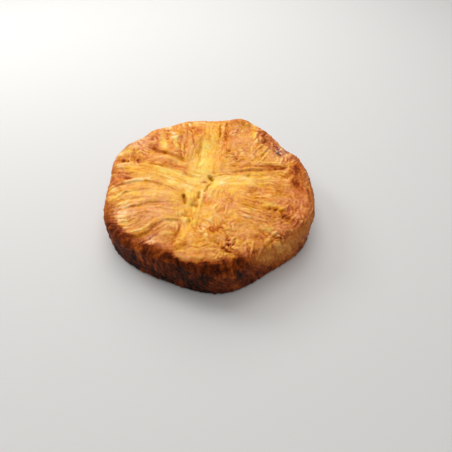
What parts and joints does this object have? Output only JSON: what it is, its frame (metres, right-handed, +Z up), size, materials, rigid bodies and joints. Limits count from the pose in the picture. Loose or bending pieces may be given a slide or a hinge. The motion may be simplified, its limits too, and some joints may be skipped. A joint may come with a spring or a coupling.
{
  "type": "kouign amann",
  "caption": "Whole round butter cake of folded, sugared dough: a cross of flap edges round a knotted hollow, uneven glossy golden crust and a dark upright wall.",
  "frame": {"origin": "centre of the object's box at its lowest level, on the flat underside", "axes": "+Z up from the flat underside; -Y towards the front, where the dark wall faces the viewer; +X to the viewer's right"},
  "size_m": [0.2026, 0.203, 0.0471],
  "materials": {
    "crust": "baked golden-brown dough, caramelised and glossy in places; plastic stands in for it"
  },
  "bodies": {
    "root": {"kouign_amann": "crust"}
  },
  "joints": []
}
